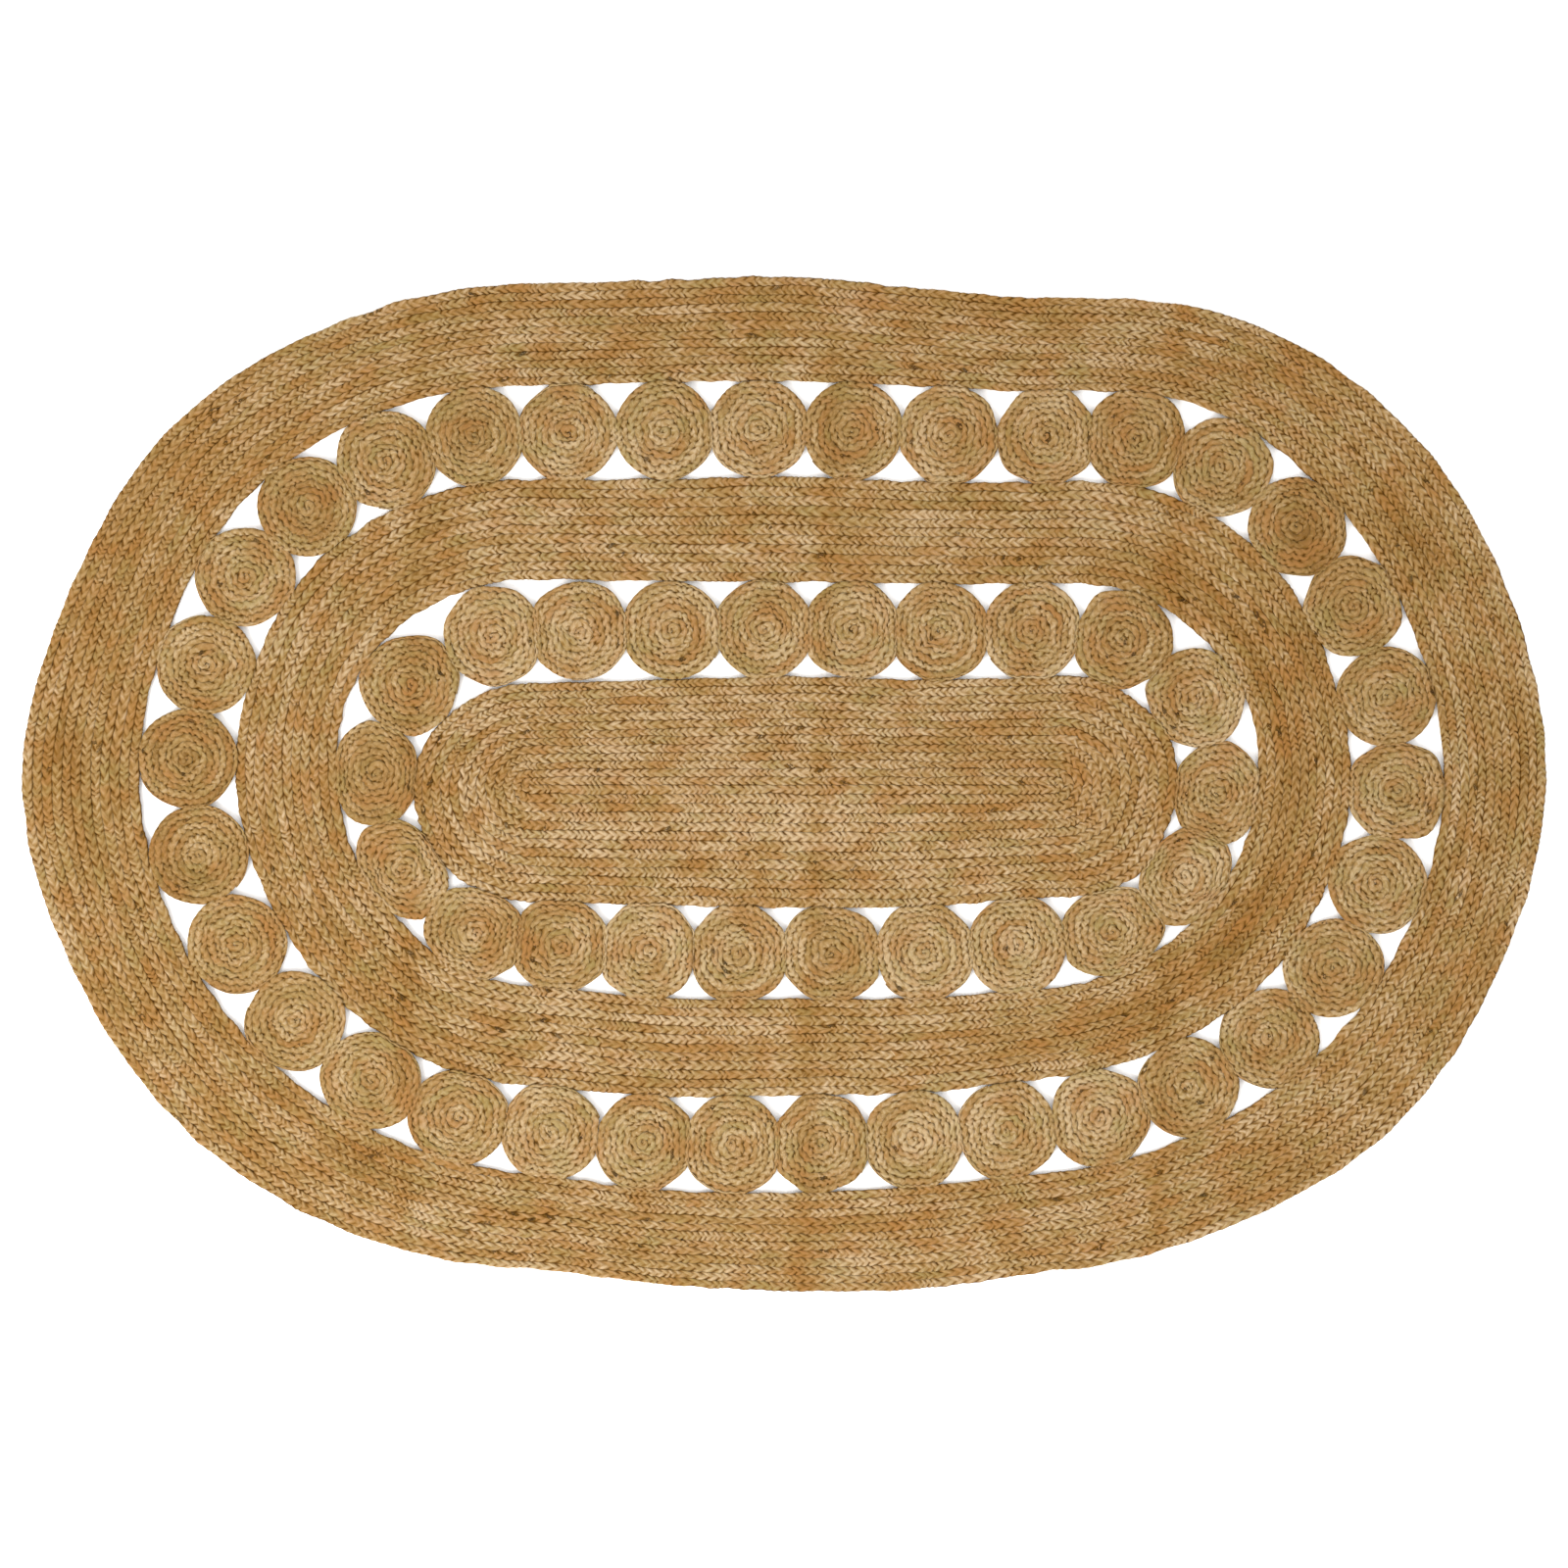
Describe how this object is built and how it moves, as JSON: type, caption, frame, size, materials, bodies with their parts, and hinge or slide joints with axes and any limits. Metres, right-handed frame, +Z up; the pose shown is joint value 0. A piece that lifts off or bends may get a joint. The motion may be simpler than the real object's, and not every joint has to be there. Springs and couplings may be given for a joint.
{
  "type": "jute rug",
  "caption": "Oval braided jute floor rug: a plaited centre and bands joined by rings of coiled discs with open gaps between them.",
  "frame": {"origin": "on the floor, under the middle of the rug's box", "axes": "+X along the rug's length, +Y across it, +Z up from the floor"},
  "size_m": [1.8, 1.1984, 0.009],
  "materials": {
    "band_jute": "dry matt jute plait, straw tan with amber and olive runs",
    "coil_jute": "dry matt jute plait in tight coils, khaki tan"
  },
  "bodies": {
    "root": {"centre_oval": "band_jute", "middle_band": "band_jute", "outer_band": "band_jute", "inner_disc_01": "coil_jute", "inner_disc_02": "coil_jute", "inner_disc_03": "coil_jute", "inner_disc_04": "coil_jute", "inner_disc_05": "coil_jute", "inner_disc_06": "coil_jute", "inner_disc_07": "coil_jute", "inner_disc_08": "coil_jute", "inner_disc_09": "coil_jute", "inner_disc_10": "coil_jute", "inner_disc_11": "coil_jute", "inner_disc_12": "coil_jute", "inner_disc_13": "coil_jute", "inner_disc_14": "coil_jute", "inner_disc_15": "coil_jute", "inner_disc_16": "coil_jute", "inner_disc_17": "coil_jute", "inner_disc_18": "coil_jute", "inner_disc_19": "coil_jute", "inner_disc_20": "coil_jute", "inner_disc_21": "coil_jute", "inner_disc_22": "coil_jute", "outer_disc_01": "coil_jute", "outer_disc_02": "coil_jute", "outer_disc_03": "coil_jute", "outer_disc_04": "coil_jute", "outer_disc_05": "coil_jute", "outer_disc_06": "coil_jute", "outer_disc_07": "coil_jute", "outer_disc_08": "coil_jute", "outer_disc_09": "coil_jute", "outer_disc_10": "coil_jute", "outer_disc_11": "coil_jute", "outer_disc_12": "coil_jute", "outer_disc_13": "coil_jute", "outer_disc_14": "coil_jute", "outer_disc_15": "coil_jute", "outer_disc_16": "coil_jute", "outer_disc_17": "coil_jute", "outer_disc_18": "coil_jute", "outer_disc_19": "coil_jute", "outer_disc_20": "coil_jute", "outer_disc_21": "coil_jute", "outer_disc_22": "coil_jute", "outer_disc_23": "coil_jute", "outer_disc_24": "coil_jute", "outer_disc_25": "coil_jute", "outer_disc_26": "coil_jute", "outer_disc_27": "coil_jute", "outer_disc_28": "coil_jute", "outer_disc_29": "coil_jute", "outer_disc_30": "coil_jute", "outer_disc_31": "coil_jute", "outer_disc_32": "coil_jute", "outer_disc_33": "coil_jute", "outer_disc_34": "coil_jute"}
  },
  "joints": []
}
